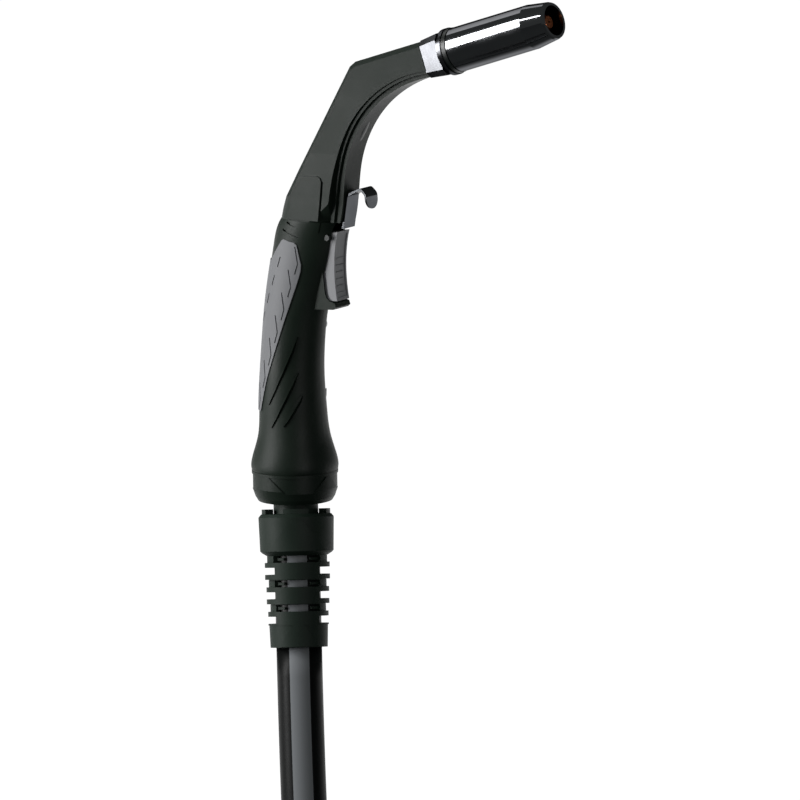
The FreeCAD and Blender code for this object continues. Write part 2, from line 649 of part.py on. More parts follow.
# ================================================================ front end
def make_front_end():
    flange_start = COLLAR_LENGTH - COLLAR_FLANGE_T
    outline = [V(x, y, 0) for x, y in COLLAR_OUTLINE]
    outline.append(outline[0])
    grown = [V(p.x * COLLAR_GROWTH[0], p.y * COLLAR_GROWTH[1], flange_start) for p in outline]
    collar = Part.makeLoft([Part.makePolygon(outline), Part.makePolygon(grown)], True, True)
    collar.Placement = NOZZLE_FRAME
    collar = collar.fuse(rod(NOZZLE_FRAME, COLLAR_FLANGE_R, flange_start, COLLAR_LENGTH))
    collar = collar.cut(rod(NOZZLE_FRAME, HOLDER_R + SEAT_GAP, -1, COLLAR_LENGTH + 1))
    save("neck_collar", largest(collar))
    start = COLLAR_LENGTH + INSULATOR_LENGTH
    ring_r = COLLAR_FLANGE_R - 0.5
    spigot_r = NOZZLE_BORE_R - RUN_GAP
    save("nozzle_insulator", turned(NOZZLE_FRAME, [
        (HOLDER_R, COLLAR_LENGTH), (ring_r, COLLAR_LENGTH), (ring_r, start),
        (spigot_r, start), (spigot_r, start + INSULATOR_SPIGOT), (HOLDER_R, start + INSULATOR_SPIGOT)]))
    end = start + NOZZLE_LENGTH
    tip_end = end - TIP_RECESS
    holder_end = start + HOLDER_REACH
    holder_bore = LINER_R + 0.3
    holder = turned(NOZZLE_FRAME, [
        (holder_bore, 0), (HOLDER_R, 0), (HOLDER_R, holder_end - 8),
        (HOLDER_NOSE_R, holder_end), (holder_bore, holder_end)])
    for step in range(GAS_PORTS):
        angle = 2 * math.pi * step / GAS_PORTS
        port = Part.makeCylinder(GAS_PORT_R, HOLDER_R + 2, V(0, 0, holder_end - 10.5),
                                 V(math.cos(angle), math.sin(angle), 0))
        port.Placement = NOZZLE_FRAME
        holder = holder.cut(port)
    holder = holder.cut(rod(NOZZLE_FRAME, TIP_THREAD_R, holder_end - TIP_THREAD, holder_end + 1))
    save("gas_diffuser", largest(holder))
    save("contact_tip", turned(NOZZLE_FRAME, [
        (TIP_WIRE_R, holder_end - TIP_THREAD), (TIP_THREAD_R, holder_end - TIP_THREAD),
        (TIP_THREAD_R, holder_end), (TIP_R, holder_end), (TIP_R, tip_end - 1.2),
        (TIP_R - 1.0, tip_end), (TIP_WIRE_R, tip_end)]))
    save("nozzle", turned(NOZZLE_FRAME, [
        (NOZZLE_BORE_R, start), (NOZZLE_R - 0.4, start), (NOZZLE_R, start + 0.6),
        (NOZZLE_R, end - TAPER_LENGTH), (NOZZLE_TIP_R + 0.5, end - 1.2), (NOZZLE_TIP_R, end),
        (NOZZLE_MOUTH_R, end), (NOZZLE_MOUTH_R, end - 8), (NOZZLE_BORE_R, end - TAPER_LENGTH - 3)]))


# ================================================================ trigger and switch
def trigger_slab(front, back, half):
    """A slab across the trigger between its curved front and a line of corners behind."""
    face = curve([V(x, -half, z) for x, z in front])
    corners = [front[-1]] + back + [front[0]]
    lines = [Part.LineSegment(V(a[0], -half, a[1]), V(b[0], -half, b[1])).toShape()
             for a, b in zip(corners, corners[1:])]
    return Part.Face(Part.Wire([face] + lines)).extrude(V(0, 2 * half, 0))


def make_trigger():
    lever = trigger_slab(TRIGGER_FACE, TRIGGER_BACK, TRIGGER_HALF_W)
    x, z = TRIGGER_PIN
    floor_line = [(px - TRIGGER_RECESS, pz) for px, pz in TRIGGER_FACE]
    inner = TRIGGER_HALF_W - TRIGGER_FRAME
    band = (TRIGGER_FACE[-1][1] + TRIGGER_FRAME * 1.4, TRIGGER_FACE[0][1] - TRIGGER_FRAME * 1.4)
    kept = trigger_slab(floor_line, TRIGGER_BACK, TRIGGER_HALF_W)
    recess = lever.cut(kept).common(block((-BIG, BIG), (-inner, inner), band))
    lever = lever.cut(recess)
    surface = curve([V(px, 0, pz) for px, pz in floor_line])
    for rib_z in TRIGGER_RIBS_Z:
        flat = Part.Plane(V(0, 0, rib_z), V(0, 0, 1))
        spot = surface.Curve.intersectCS(flat)[0][0]
        lever = lever.fuse(Part.makeCylinder(TRIGGER_RIB_R, 2 * inner - 2 * TRIGGER_FRAME,
                                             V(spot.X, TRIGGER_FRAME - inner, rib_z), V(0, 1, 0)))
    lever = lever.cut(screw_room(x, z, TRIGGER_PIN_R + RUN_GAP, -10, 10))
    save("trigger", largest(lever))
    pin = screw_room(x, z, TRIGGER_PIN_R, -8.0, 8.0)
    save("trigger_pin", pin)
    body = block(SWITCH_X, (-SWITCH_HALF_W, SWITCH_HALF_W), SWITCH_Z)
    bore = Part.makeCylinder(PLUNGER_R + RUN_GAP, 6.0, V(SWITCH_X[1] - 5.0, 0, PLUNGER_Z), V(1, 0, 0))
    save("microswitch", body.cut(bore))
    plunger = Part.makeCylinder(PLUNGER_R, 2.2 + PLUNGER_OUT, V(SWITCH_X[1] - 2.2, 0, PLUNGER_Z), V(1, 0, 0))
    save("switch_plunger", plunger)


# ================================================================ rear ring and knuckle
def make_knuckle():
    ring = turned(HANDLE_AXIS, [
        (SEAT_R + SIDE_GAP, -RING_SEAM), (RING_R, -RING_SEAM), (RING_R, -RING_BAND),
        (RING_R - 1.6, -RING_HEIGHT + 2.2), (RING_END_R, -RING_HEIGHT), (RING_MOUTH_R, -RING_HEIGHT),
        (RING_MOUTH_R, -RING_HEIGHT + 2.0), (SEAT_R + SIDE_GAP, -RING_HEIGHT + 4.5)])
    skin = pipe(HANDLE_AXIS, RING_R + 1, RING_R - RING_FACET_DEPTH, -RING_HEIGHT, 0)
    for quarter in range(4):
        place = FreeCAD.Placement(V(0, 0, 0), FreeCAD.Rotation(V(0, 0, 1), RING_FACET_DEG + 90 * quarter))
        ring = ring.cut(radial_prism(place, RING_FACET, 0).common(skin))
    save("rear_ring", ring)
    middle = BALL_CENTRE.z
    lip = math.radians(SEAT_LIP_DEG)
    drop = BALL_R * math.cos(lip)
    seat = pipe(HANDLE_AXIS, SEAT_R, SEAT_BORE_R, middle - drop, middle + SEAT_HALF)
    seat = seat.cut(Part.makeSphere(BALL_R + RUN_GAP, BALL_CENTRE))
    cone = Part.makeCone(*SEAT_CONE, V(0, 0, middle + 3.0), V(0, 0, 1))
    save("knuckle_seat", largest(seat.cut(cone)))
    ball = Part.makeSphere(BALL_R, BALL_CENTRE)
    ball = ball.cut(rod(CABLE_FRAME, 30, -30, -BALL_FLAT))
    stem = rod(CABLE_FRAME, STEM_R, 0, STEM_FLANGE[1])
    flange = rod(CABLE_FRAME, STEM_FLANGE_R - RUN_GAP, *STEM_FLANGE)
    ball = ball.fuse([stem, flange]).cut(rod(CABLE_FRAME, BALL_BORE_R, -30, 40))
    save("knuckle_ball", largest(ball.removeSplitter()))


# ================================================================ cable support
def window(low, high, middle_deg, width_deg):
    """A wedge that opens the sleeve between two heights, about one direction."""
    half = math.radians(width_deg / 2)
    reach = 40.0
    points = [V(0, 0, low), V(reach * math.cos(-half), reach * math.sin(-half), low),
              V(reach * math.cos(half), reach * math.sin(half), low)]
    wedge = Part.Face(Part.makePolygon(points + points[:1])).extrude(V(0, 0, high - low))
    wedge.rotate(V(0, 0, 0), V(0, 0, 1), middle_deg)
    wedge.Placement = CABLE_FRAME.multiply(wedge.Placement)
    return wedge


def boot_panel(outline, around_deg, low_r, high_r):
    """A raised panel on the boot, about one direction round its axis."""
    turn = FreeCAD.Placement(V(0, 0, 0), FreeCAD.Rotation(V(0, 0, 1), around_deg))
    prism = radial_prism(CABLE_FRAME.multiply(turn), outline, 0)
    low = min(z for _, z in outline)
    high = max(z for _, z in outline)
    return prism.common(pipe(CABLE_FRAME, high_r, low_r, low, high))


def make_boot():
    collar_start = BOOT_END - BOOT_COLLAR
    body = turned(CABLE_FRAME, [
        (STEM_R + RUN_GAP, BOOT_CROWN_FLOOR), (BOOT_TOP_R, BOOT_CROWN_FLOOR),
        (BOOT_TOP_R + 0.6, BOOT_SHOULDER - 0.8), (BOOT_BODY_R, BOOT_SHOULDER + 0.6),
        (BOOT_BODY_R - 0.5, BOOT_BODY_END - 1.0), (BOOT_BODY_R - 1.5, BOOT_BODY_END),
        (BOOT_SLEEVE_R + 1.4, BOOT_BODY_END + 1.5), (BOOT_SLEEVE_R, collar_start),
        (BOOT_LOW_R + 0.4, collar_start), (BOOT_LOW_R, BOOT_END), (CABLE_R, BOOT_END),
        (CABLE_R, SHEATH_START - 1), (STEM_FLANGE_R, SHEATH_START - 1), (STEM_FLANGE_R, STEM_FLANGE[0]),
        (STEM_R + RUN_GAP, STEM_FLANGE[0])])
    extras = []
    crown = pipe(CABLE_FRAME, BOOT_TOP_R, STEM_R + BOOT_CROWN_GAP, BOOT_TOP, BOOT_CROWN_FLOOR)
    for middle_deg, width_deg in BOOT_TABS:
        extras.append(crown.common(window(BOOT_TOP, BOOT_CROWN_FLOOR, middle_deg, width_deg)))
    for outline, high_r in BOOT_PANELS:
        for around in (0, 180):
            extras.append(boot_panel(outline, around, BOOT_SLEEVE_R, high_r))
    cuts = []
    bars = []
    for step in range(3):
        at = RIB_FIRST + step * RIB_PITCH
        radius = BOOT_RIB_R - BOOT_RIB_TAPER * step
        top = at - RIB_THICK / 2
        end = at + BOOT_BAND + RIB_THICK / 2 if step < 2 else collar_start + 1
        sleeve_r = BOOT_STRUT_R - BOOT_RIB_TAPER * step
        extras.append(pipe(CABLE_FRAME, radius, CABLE_R, top, end))
        extras.append(pipe(CABLE_FRAME, sleeve_r, CABLE_R, top - BOOT_WINDOW_H, top))
        for side in (90, 270):
            cuts.append(window(at + RIB_THICK / 2, at + BOOT_BAND - RIB_THICK / 2, side, BOOT_GAP_DEG))
        for side in (0, 180):
            cuts.append(window(top - BOOT_WINDOW_H, top, side, BOOT_WINDOW_DEG))
        middle = top - BOOT_WINDOW_H / 2
        ring = pipe(CABLE_FRAME, BOOT_BAR_R, CABLE_R, middle - BOOT_BAR_T / 2, middle + BOOT_BAR_T / 2)
        for middle_deg, width_deg in BOOT_BARS:
            bars.append(ring.common(window(top - BOOT_WINDOW_H, top, middle_deg, width_deg)))
    body = body.fuse(extras)
    for cut in cuts:
        body = body.cut(cut)
    save("cable_boot", largest(body.fuse(bars)))
    save("cable_sheath_end", pipe(CABLE_FRAME, CABLE_R, CORE_R, SHEATH_START, BOOT_END))
    save("power_core", pipe(CABLE_FRAME, CORE_R, LINER_R, CORE_TOP, BOOT_END))


# ================================================================ free cable
def make_cable():
    mouth = BALL_CENTRE + CABLE_DOWN * BOOT_END
    route = [mouth, mouth + CABLE_DOWN * CABLE_FIRST_RUN] + [V(*point) for point in CABLE_ROUTE]
    radii = route_radii(route)
    cable = bent_rod(route, radii, CABLE_R)
    wire = runs_and_arcs(route, radii)
    print("cable radii", [round(r) for r in radii], "length", round(wire.Length),
          "volume over section times length", round(cable.Volume / (math.pi * CABLE_R ** 2 * wire.Length), 4))
    save("cable", cable)
    across = 2 * CABLE_R
    outer = COIL_TURN_R + CABLE_R
    inner = COIL_TURN_R - across - CABLE_R
    high = COIL_TOP_Z + CABLE_R
    low = COIL_TOP_Z - across - CABLE_R
    soft = CABLE_R * 0.6
    coil = turned(FreeCAD.Placement(COIL_MIDDLE, FreeCAD.Rotation()), [
        (inner, low + soft), (inner + soft, low), (outer - soft, low), (outer, low + soft),
        (outer, high - soft), (outer - soft, high), (inner + soft, high), (inner, high - soft)])
    save("cable_coil", coil)
    tail = [V(*point) for point in TAIL_ROUTE]
    radii = route_radii(tail)
    print("tail radii", [round(r) for r in radii])
    save("cable_tail", bent_rod(tail, radii, CABLE_R))


def make_plug():
    entry = V(*TAIL_ROUTE[-1])
    place = placed(entry, V(0, 1, 0), V(0, 0, 1))
    body_start = PLUG_BOOT_LENGTH
    body_end = body_start + PLUG_BODY_LENGTH
    inner = PLUG_BODY_R - PLUG_WALL
    sleeve_bore = CABLE_R + 0.01
    sleeve_r = CABLE_R + PLUG_BOOT_GROWTH
    lip_end = body_start + PLUG_BOOT_LIP
    save("plug_strain_relief", turned(place, [
        (sleeve_bore, 0), (CABLE_R + 2.0, 0), (sleeve_r, body_start),
        (sleeve_r, lip_end), (sleeve_bore, lip_end)]))
    wall_end = lip_end + 0.5
    shell = turned(place, [
        (sleeve_r, body_start), (PLUG_BODY_R - 2.0, body_start), (PLUG_BODY_R, body_start + 4.0),
        (PLUG_BODY_R, body_end), (inner, body_end), (inner, wall_end), (sleeve_r, wall_end)])
    left = local_block(place, (-BIG, BIG), (0, BIG), (-BIG, BIG))
    right = local_block(place, (-BIG, BIG), (-BIG, 0), (-BIG, BIG))
    save("plug_shell_left", largest(shell.common(left)))
    save("plug_shell_right", largest(shell.common(right)))
    block_start = body_start + PLUG_BLOCK_START
    seal_end = PLUG_FACE + PLUG_SEAL_T
    disc_start = PLUG_FACE - PLUG_DISC_T
    pin_end = PLUG_FACE + PLUG_PIN_LENGTH
    save("plug_brass_block", turned(place, [
        (LINER_R, block_start), (PLUG_BLOCK_R, block_start), (PLUG_BLOCK_R, disc_start),
        (PLUG_NECK_R, disc_start), (PLUG_NECK_R, seal_end), (PLUG_PIN_R, seal_end),
        (PLUG_PIN_R, pin_end - 1.0), (PLUG_PIN_R - 1.0, pin_end), (LINER_R, pin_end)]))
    disc = pipe(place, inner, PLUG_NECK_R, disc_start, PLUG_FACE)
    spots = [(0, PLUG_CONTACT_SPREAD), (0, -PLUG_CONTACT_SPREAD)]
    for x, y in spots:
        hole = Part.makeCylinder(PLUG_CONTACT_R + RUN_GAP, 2 * PLUG_DISC_T, V(x, y, disc_start - 2))
        hole.Placement = place
        disc = disc.cut(hole)
    save("plug_insulator", largest(disc))
    contact_start = disc_start + 2.0
    contact_length = PLUG_FACE + PLUG_CONTACT_LENGTH - contact_start
    for name, (x, y) in zip(("plug_contact_a", "plug_contact_b"), spots):
        contact = Part.makeCylinder(PLUG_CONTACT_R, contact_length, V(x, y, contact_start))
        contact.Placement = place
        save(name, contact)
    save("plug_core", pipe(place, PLUG_CORE_R, LINER_R + 0.01, 0, block_start))
    save("plug_seal", pipe(place, PLUG_SEAL_R, PLUG_NECK_R, PLUG_FACE, seal_end))
    nut_bore = PLUG_BODY_R + RUN_GAP * 2
    nut_start = body_end - PLUG_NUT_BACK
    nut_end = nut_start + PLUG_NUT_LENGTH
    nut = turned(place, [
        (nut_bore, nut_start), (PLUG_NUT_R - 1.0, nut_start), (PLUG_NUT_R, nut_start + 2.0),
        (PLUG_NUT_R, nut_end - 1.0), (PLUG_NUT_R - 1.0, nut_end), (nut_bore, nut_end)])
    flute_r = PLUG_NUT_R + 0.4
    for step in range(PLUG_NUT_GRIPS):
        angle = 2 * math.pi * step / PLUG_NUT_GRIPS
        foot = V(flute_r * math.cos(angle), flute_r * math.sin(angle), nut_start + 2.5)
        flute = Part.makeCylinder(PLUG_FLUTE_R, PLUG_NUT_LENGTH - 5.0, foot)
        flute.Placement = place
        nut = nut.cut(flute)
    save("plug_nut", largest(nut))


make_handle()
make_neck()
save("hanging_hook", hook_form())
make_front_end()
make_trigger()
make_knuckle()
make_boot()
make_cable()
make_plug()
print("pieces", len(written))
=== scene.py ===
# %% [markdown]
# A wire-feed welding torch with its cable, dressed for a picture.
# The maker's frame comes first: every moulding, tube and screw already stands
# where it belongs, in metres, with the hook's peg at the origin. This lesson
# adds what the frame leaves plain: the cable and the finishes.

# %% Load the frame
import json
import math

import bmesh
import bpy
from mathutils import Matrix, Vector


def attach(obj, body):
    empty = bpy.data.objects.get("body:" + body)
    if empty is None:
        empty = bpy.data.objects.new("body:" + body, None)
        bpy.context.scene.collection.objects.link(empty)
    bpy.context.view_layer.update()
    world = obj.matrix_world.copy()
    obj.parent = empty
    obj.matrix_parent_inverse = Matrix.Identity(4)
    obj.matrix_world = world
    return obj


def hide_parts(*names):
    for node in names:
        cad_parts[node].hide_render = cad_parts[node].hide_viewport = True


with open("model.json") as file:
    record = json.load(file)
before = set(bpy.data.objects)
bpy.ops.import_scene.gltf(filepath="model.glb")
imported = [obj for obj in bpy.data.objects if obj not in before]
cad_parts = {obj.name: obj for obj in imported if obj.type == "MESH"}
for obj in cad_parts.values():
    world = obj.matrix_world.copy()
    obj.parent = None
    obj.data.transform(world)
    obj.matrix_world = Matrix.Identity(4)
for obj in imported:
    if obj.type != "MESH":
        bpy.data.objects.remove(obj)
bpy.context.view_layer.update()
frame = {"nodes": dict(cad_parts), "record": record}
record = frame["record"]
nodes = frame["nodes"]

# %% [markdown]
# The working axes. The handle's own zero is the seam above its rear ring; the
# frame's zero is the hook's peg. Every shape below is written in millimetres
# from the handle's zero, which reads like a drawing, and `at` brings it home.

# %% Axes and units
MM = 0.001
PEG = Vector((40.4, 0.0, 140.6))
BALL = Vector((0.0, 0.0, -3.0))
CABLE_DOWN = Vector((0.101, -0.137, -0.985)).normalized()
NOZZLE_TILT = math.radians(18.1)


def at(x, y, z):
    """A place given in millimetres from the handle's zero, in the frame's metres."""
    return (Vector((x, y, z)) - PEG) * MM


print("handle zero in the frame", [round(v, 4) for v in at(0, 0, 0)])

# %% [markdown]
# The camera looks from the trigger side, a little above, with a long lens so
# that the handle's sides stay nearly parallel.

# %% Camera
LOOK_AZIMUTH = math.radians(33.6)
LOOK_HEIGHT = math.radians(9.8)
LOOK_ROLL = math.radians(0.9)
LENS = 800.0
LOOK_DISTANCE = 1.47 * LENS / 135.0
LOOK_AT = at(62.7, 0.0, 39.4)

toward = Vector((math.sin(LOOK_AZIMUTH) * math.cos(LOOK_HEIGHT),
                 -math.cos(LOOK_AZIMUTH) * math.cos(LOOK_HEIGHT), math.sin(LOOK_HEIGHT)))
right = Vector((math.cos(LOOK_AZIMUTH), math.sin(LOOK_AZIMUTH), 0.0))
up = toward.cross(right)
rolled_right = right * math.cos(LOOK_ROLL) - up * math.sin(LOOK_ROLL)
rolled_up = up * math.cos(LOOK_ROLL) + right * math.sin(LOOK_ROLL)

lens = bpy.data.cameras.new("camera")
lens.lens = LENS
lens.sensor_width = 36.0
lens.clip_end = 50.0
camera = bpy.data.objects.new("camera", lens)
camera.matrix_world = (Matrix.Translation(LOOK_AT + toward * LOOK_DISTANCE)
                       @ Matrix((rolled_right, rolled_up, toward)).transposed().to_4x4())
bpy.context.scene.collection.objects.link(camera)
bpy.context.scene.camera = camera
print("camera at", [round(v, 3) for v in camera.location])

# %% [markdown]
# The cable is one smooth line. It leaves the cable support straight, bends
# down on to the bench, winds three and a half turns in a coil of two layers,
# and ends in the machine plug. A NURBS curve of order three follows the listed
# points; the coil's turns are points of the same curve, worked out by a loop.

# %% Cable route
CABLE_R = 11.25
FIRST_RUN = 60.0
CABLE_MOUTH = BALL + CABLE_DOWN * 85.0
DROP = [(22.2, -27.0, -212.0), (11.2, -57.0, -266.5), (-11.0, -105.2, -301.5), (-33.6, -162.4, -309.0),
        (-42.8, -185.7, -309.0)]
COIL_MIDDLE = (74.8, -232.3)
COIL_OUTER = 126.5
COIL_INNER = COIL_OUTER - 2 * CABLE_R
TOP_Z = -309.0
LOW_Z = TOP_Z - 2 * CABLE_R
COIL_START = math.degrees(math.atan2(-185.7 + 232.3, -42.8 - 74.8))
TAIL = [(203.0, -202.0, -331.0), (203.2, -171.0, -328.2), (202.3, -140.0, -322.4), (201.3, -110.0, -317.75),
        (201.3, -82.0, -317.75)]
COIL_STEP = 15


def eased(angle, begin, end):
    """0 before begin, 1 after end, and a smooth step between."""
    t = min(max((angle - begin) / (end - begin), 0.0), 1.0)
    return t * t * (3 - 2 * t)


def coil_point(angle):
    """Upper outer turn, then upper inner, lower inner and lower outer."""
    radius = COIL_OUTER - (COIL_OUTER - COIL_INNER) * (eased(angle, 410, 460) - eased(angle, 1080, 1130))
    height = TOP_Z - (TOP_Z - LOW_Z) * eased(angle, 760, 820)
    turn = math.radians(angle)
    return (COIL_MIDDLE[0] + radius * math.cos(turn), COIL_MIDDLE[1] + radius * math.sin(turn), height)


first = CABLE_MOUTH + CABLE_DOWN * FIRST_RUN
turns = [coil_point(COIL_START + step * COIL_STEP) for step in range(1, int((1440 - COIL_START) / COIL_STEP))]
route = [tuple(CABLE_MOUTH), tuple(first)] + DROP + turns + [coil_point(1440)] + TAIL
print("route points", len(route), "coil starts at", round(COIL_START, 1))

# %% The cable's middle line
def nurbs_line(name, points):
    line = bpy.data.curves.new(name, "CURVE")
    line.dimensions = "3D"
    spline = line.splines.new("NURBS")
    spline.points.add(len(points) - 1)
    for knot, place in zip(spline.points, points):
        knot.co = (*at(*place), 1.0)
    spline.order_u = 3
    spline.use_endpoint_u = True
    spline.resolution_u = 8
    return bpy.data.objects.new(name, line)


cable_line = nurbs_line("cable_line", route)
centre = [vertex.co.copy() for vertex in bpy.data.meshes.new_from_object(cable_line).vertices]


# %% [markdown]
# The cable itself is a round jacket drawn along that line. Each ring is turned
# as little as possible from the one before, so the printed stripe along the
# jacket stays on the side where it starts: the side that faces the camera.

# %% Cable jacket
FRONT = Vector((0.553, -0.833, 0.0))
CABLE_SIDES = 40


def jacket(name, path, radius, sides, facing):
    """A round tube along the path, with its seam opposite `facing` and a UV map: u around, v along."""
    shape = bmesh.new()
    around_map = shape.loops.layers.uv.new("around")
    heading = (path[1] - path[0]).normalized()
    front = (facing - heading * facing.dot(heading)).normalized()
    rings = []
    run = [0.0]
    for index, place in enumerate(path):
        before = path[max(index - 1, 0)]
        after = path[min(index + 1, len(path) - 1)]
        onward = (after - before).normalized()
        front = (heading.rotation_difference(onward) @ front)
        front = (front - onward * front.dot(onward)).normalized()
        heading = onward
        side = heading.cross(front)
        if index:
            run.append(run[-1] + (place - path[index - 1]).length)
        rings.append([shape.verts.new(place - (front * math.cos(2 * math.pi * k / sides)
                                               + side * math.sin(2 * math.pi * k / sides)) * radius)
                      for k in range(sides)])
    for index in range(len(rings) - 1):
        for k in range(sides):
            corners = [(index, k), (index, k + 1), (index + 1, k + 1), (index + 1, k)]
            face = shape.faces.new([rings[i][j % sides] for i, j in corners])
            face.smooth = True
            for loop, (i, j) in zip(face.loops, corners):
                loop[around_map].uv = (j / sides, run[i])
    shape.faces.new(rings[0][::-1])
    shape.faces.new(rings[-1])
    bmesh.ops.recalc_face_normals(shape, faces=shape.faces)
    mesh = bpy.data.meshes.new(name)
    shape.to_mesh(mesh)
    shape.free()
    piece = bpy.data.objects.new(name, mesh)
    bpy.context.scene.collection.objects.link(piece)
    return piece


cable_jacket = jacket("cable_jacket", centre, CABLE_R * MM, CABLE_SIDES, FRONT)
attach(cable_jacket, "cable_side")
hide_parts("cable", "cable_coil", "cable_tail")
print("cable jacket", len(cable_jacket.data.polygons), "faces")

# %% [markdown]
# A pale seamless floor. A little way behind the torch it glows with painted
# light, an emission that grows further back, so the ground there turns plain white.

# %% Floor
FLOOR_Z = at(0, 0, -343.0).z


def tone(code):
    """A colour written the way a paint chart writes it, as linear light."""
    parts = [int(code[k:k + 2], 16) / 255 for k in (0, 2, 4)]
    linear = [p / 12.92 if p <= 0.04045 else ((p + 0.055) / 1.055) ** 2.4 for p in parts]
    return (*linear, 1.0)


def new_material(name):
    """A fresh material, its node tree, and its shader."""
    material = bpy.data.materials.new(name)
    material.use_nodes = True
    tree = material.node_tree
    shader = next(node for node in tree.nodes if node.type == "BSDF_PRINCIPLED")
    return material, tree, shader


def node(tree, kind, **settings):
    made = tree.nodes.new(kind)
    for key, value in settings.items():
        setattr(made, key, value)
    return made


def floor_paper():
    material, tree, shader = new_material("floor_paper")
    shader.inputs["Base Color"].default_value = tone("b6b8b9")
    shader.inputs["Roughness"].default_value = 0.95
    shader.inputs["Specular IOR Level"].default_value = 0.1
    place = node(tree, "ShaderNodeTexCoord")
    turned = node(tree, "ShaderNodeVectorRotate", rotation_type="Z_AXIS")
    turned.inputs["Angle"].default_value = -LOOK_AZIMUTH
    split = node(tree, "ShaderNodeSeparateXYZ")
    # Painted light: the floor's emission rises smoothly from 0.05 m to 0.5 m behind the torch, along the
    # camera's heading.
    painted_glow = node(tree, "ShaderNodeMapRange", interpolation_type="SMOOTHSTEP")
    painted_glow.inputs["From Min"].default_value = 0.05
    painted_glow.inputs["From Max"].default_value = 0.5
    tree.links.new(place.outputs["Object"], turned.inputs["Vector"])
    tree.links.new(turned.outputs["Vector"], split.inputs["Vector"])
    tree.links.new(split.outputs["Y"], painted_glow.inputs["Value"])
    tree.links.new(painted_glow.outputs["Result"], shader.inputs["Emission Color"])
    shader.inputs["Emission Strength"].default_value = 1.0
    return material


sheet = bpy.data.meshes.new("floor")
shape = bmesh.new()
bmesh.ops.create_circle(shape, cap_ends=True, segments=64, radius=40.0)
bmesh.ops.translate(shape, verts=shape.verts, vec=(0, 0, FLOOR_Z))
shape.to_mesh(sheet)
shape.free()
floor = bpy.data.objects.new("floor", sheet)
bpy.context.scene.collection.objects.link(floor)
floor.data.materials.append(floor_paper())
print("floor at", round(FLOOR_Z, 4))

# %% [markdown]
# Soft studio light: one tall bright panel on the left draws the highlight down
# the handle and along the nozzle, a weaker one above and behind lifts the top
# edges, and a narrow fill on the right shapes the trigger and the cable support.
# The two front panels leave the floor alone, so the nozzle's lower half has
# something dark to reflect.

# %% Lights
def panel(name, direction, distance, size, power, aim):
    """A soft rectangular light, placed along a direction from the point it aims at."""
    lamp = bpy.data.lights.new(name, "AREA")
    lamp.shape = "RECTANGLE"
    lamp.size, lamp.size_y = size
    lamp.energy = power
    away = Vector(direction).normalized()
    stand = bpy.data.objects.new(name, lamp)
    stand.matrix_world = (Matrix.Translation(aim + away * distance)
                          @ away.to_track_quat("Z", "Y").to_matrix().to_4x4())
    bpy.context.scene.collection.objects.link(stand)
    return stand


torch_middle = at(20, 0, 80)
key_panel = panel("key_panel", (-0.68, -0.66, 0.26), 1.7, (0.6, 1.6), 38.0, torch_middle)
panel("back_panel", (-0.72, 0.35, 0.62), 1.9, (1.0, 0.6), 1.6, torch_middle)
fill_panel = panel("fill_panel", (0.82, -0.56, 0.08), 1.8, (0.25, 1.5), 5.0, torch_middle)
off_floor = bpy.data.collections.new("panels_pass_by")
off_floor.objects.link(floor)
off_floor.collection_objects[0].light_linking.link_state = "EXCLUDE"
for stand in (key_panel, fill_panel):
    stand.light_linking.receiver_collection = off_floor

sky = bpy.data.worlds.new("studio")
sky.use_nodes = True
sky.node_tree.nodes["Background"].inputs["Color"].default_value = (0.60, 0.64, 0.63, 1.0)
sky.node_tree.nodes["Background"].inputs["Strength"].default_value = 0.11
bpy.context.scene.world = sky
bpy.context.scene.view_settings.view_transform = "Standard"

# %% [markdown]
# Finishes. Two shared groups carry what most surfaces have in common: the fine
# spark-eroded grain of moulded plastic, and the faint rubbed and dusty patches
# that come with handling. Metals share a third one: the fine lines left by turning.

# %% Shared finish groups
def group(name, inputs, outputs):
    """An empty node group with named number or colour sockets."""
    tree = bpy.data.node_groups.new(name, "ShaderNodeTree")
    for label, kind, value in inputs:
        socket = tree.interface.new_socket(name=label, in_out="INPUT", socket_type=kind)
        socket.default_value = value
    for label, kind in outputs:
        tree.interface.new_socket(name=label, in_out="OUTPUT", socket_type=kind)
    return tree, node(tree, "NodeGroupInput"), node(tree, "NodeGroupOutput")


NUMBER = "NodeSocketFloat"
COLOUR = "NodeSocketColor"


def moulded_grain_group():
    tree, inlet, outlet = group("moulded_grain", [("Grain Scale", NUMBER, 2600.0)], [("Height", NUMBER)])
    place = node(tree, "ShaderNodeTexCoord")
    grain = node(tree, "ShaderNodeTexNoise")
    grain.inputs["Detail"].default_value = 3.0
    grain.inputs["Roughness"].default_value = 0.6
    tree.links.new(place.outputs["Object"], grain.inputs["Vector"])
    tree.links.new(inlet.outputs["Grain Scale"], grain.inputs["Scale"])
    tree.links.new(grain.outputs["Fac"], outlet.inputs["Height"])
    return tree


